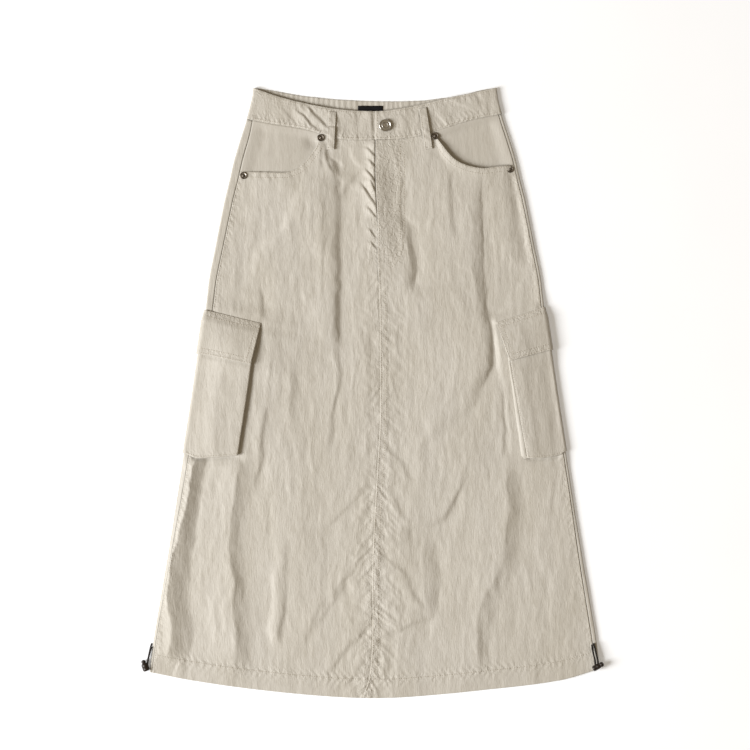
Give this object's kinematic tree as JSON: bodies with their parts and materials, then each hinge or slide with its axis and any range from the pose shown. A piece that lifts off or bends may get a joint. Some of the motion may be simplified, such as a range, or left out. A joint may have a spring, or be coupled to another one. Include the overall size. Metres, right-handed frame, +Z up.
{
  "type": "cargo skirt",
  "caption": "Calf-length A-line cargo skirt laid flat, front up, with scoop pockets, flapped side pockets, a buttoned waistband and hem drawcords with locks.",
  "frame": {"origin": "on the surface the skirt lies on, under the middle of its bounding box without the drawcords and their locks", "axes": "+X to the picture's right across the skirt, +Y from hem to waist, +Z up out of the front cloth"},
  "size_m": [0.6378, 0.8412, 0.0157],
  "materials": {
    "shell_cloth": "crinkled woven nylon with a low sheen",
    "label_cloth": "plain woven tape",
    "button_metal": "brushed silver",
    "rivet_metal": "antique nickel",
    "cord_braid": "round braid",
    "lock_plastic": "moulded, semi-gloss"
  },
  "bodies": {
    "root": {"front_left": "shell_cloth", "front_right": "shell_cloth", "back": "shell_cloth", "waistband": "shell_cloth", "hip_facing_left": "shell_cloth", "hip_facing_right": "shell_cloth", "belt_loop_left": "shell_cloth", "belt_loop_right": "shell_cloth", "cargo_pocket_left": "shell_cloth", "cargo_gusset_left": "shell_cloth", "cargo_flap_left": "shell_cloth", "cargo_pocket_right": "shell_cloth", "cargo_gusset_right": "shell_cloth", "cargo_flap_right": "shell_cloth", "back_label": "label_cloth", "waist_button": "button_metal", "rivet_inner_left": "rivet_metal", "rivet_inner_right": "rivet_metal", "rivet_outer_left": "rivet_metal", "rivet_outer_right": "rivet_metal", "drawcord_left_a": "cord_braid", "drawcord_left_b": "cord_braid", "drawcord_right_a": "cord_braid", "drawcord_right_b": "cord_braid", "cord_lock_left": "lock_plastic", "lock_plunger_left": "lock_plastic", "cord_lock_right": "lock_plastic", "lock_plunger_right": "lock_plastic"}
  },
  "joints": []
}
